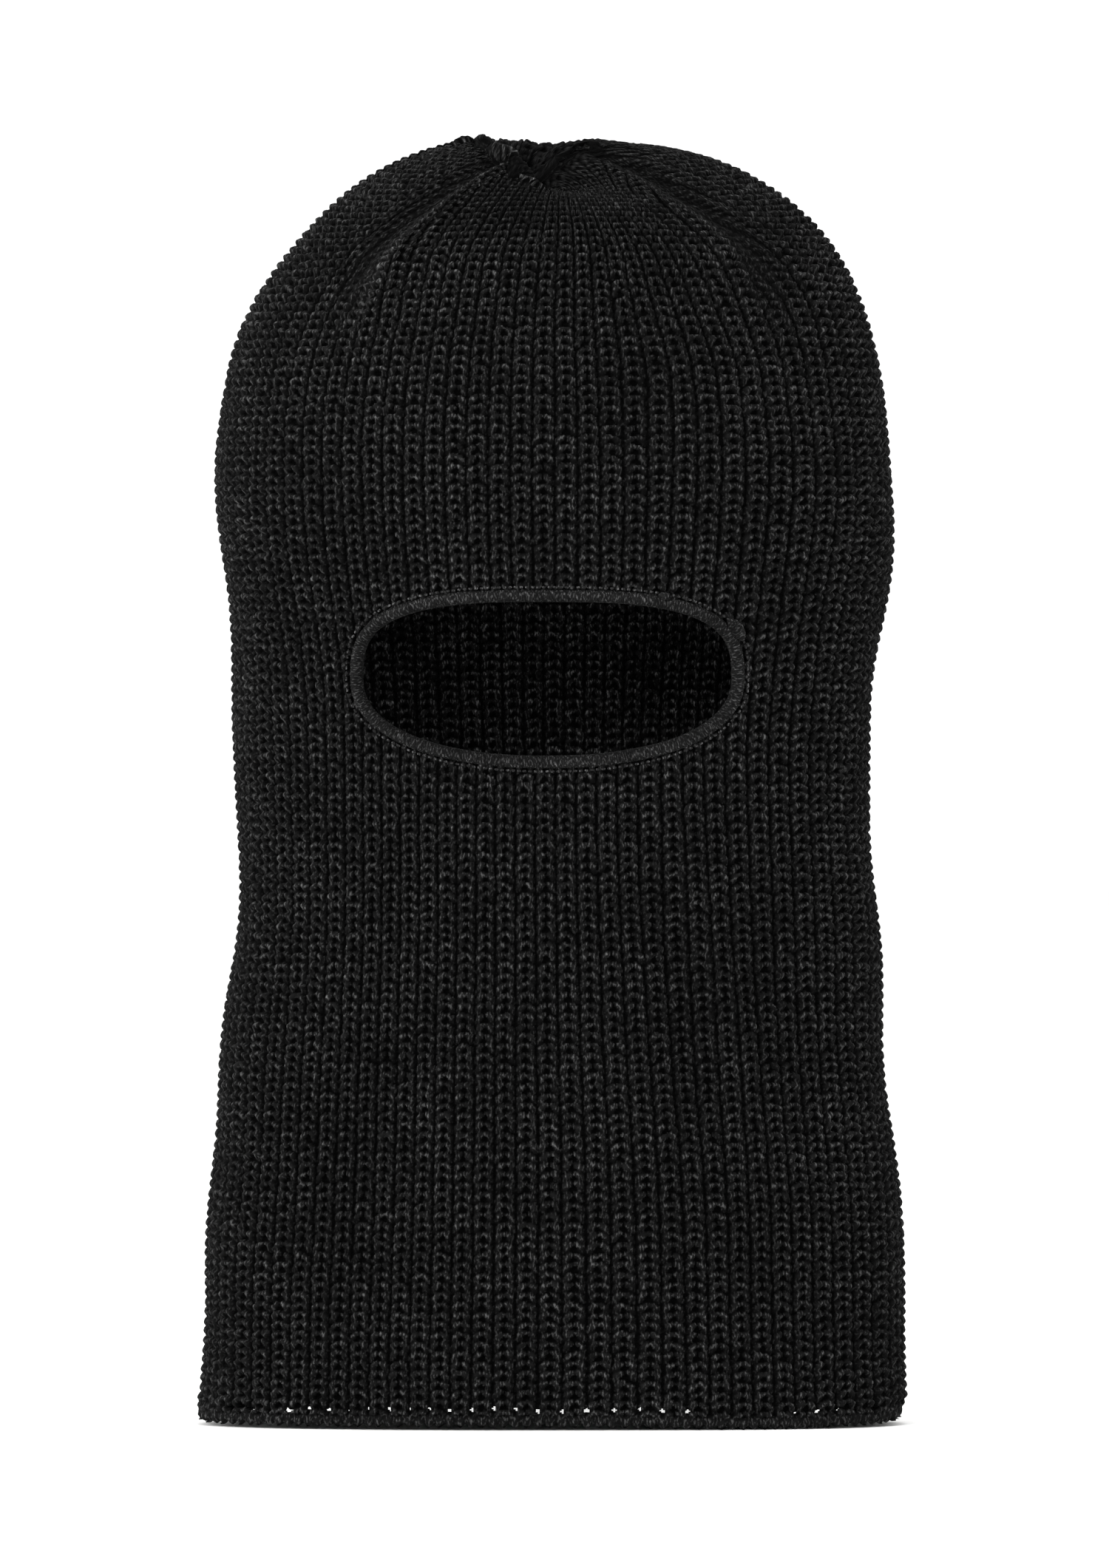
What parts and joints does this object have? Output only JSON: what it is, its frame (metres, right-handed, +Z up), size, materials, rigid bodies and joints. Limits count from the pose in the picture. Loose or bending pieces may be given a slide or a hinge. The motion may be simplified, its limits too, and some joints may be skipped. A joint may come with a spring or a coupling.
{
  "type": "balaclava",
  "caption": "One-hole knitted balaclava: a seamless ribbed tube for neck and head, a darted and gathered crown, an oval eye opening with a rolled edge, and a welted neck edge.",
  "frame": {"origin": "middle of the neck edge, at the foot of the welt that the mask stands on", "axes": "+Z up to the crown; -Y the way the face looks; +X the wearer's left"},
  "size_m": [0.2232, 0.096, 0.4029],
  "materials": {
    "rib_knit": "black acrylic yarn in a chunky 1x1 rib, matt with a fine bright fuzz",
    "edging_thread": "black spun polyester overlock thread, packed close, faint sheen",
    "seam_thread": "black spun polyester overlock thread over the cut rib"
  },
  "bodies": {
    "root": {"hem_welt": "rib_knit", "neck_front": "rib_knit", "neck_back": "rib_knit", "head_front": "rib_knit", "head_back": "rib_knit", "crown_gore_left": "rib_knit", "crown_gore_back": "rib_knit", "crown_gore_right": "rib_knit", "crown_gore_front": "rib_knit", "crown_seam_back_left": "seam_thread", "crown_seam_back_right": "seam_thread", "crown_seam_front_right": "seam_thread", "crown_seam_front_left": "seam_thread", "crown_gather": "seam_thread", "eye_edging": "edging_thread", "eye_edging_lap": "edging_thread", "eye_needle_stitching": "edging_thread"}
  },
  "joints": []
}
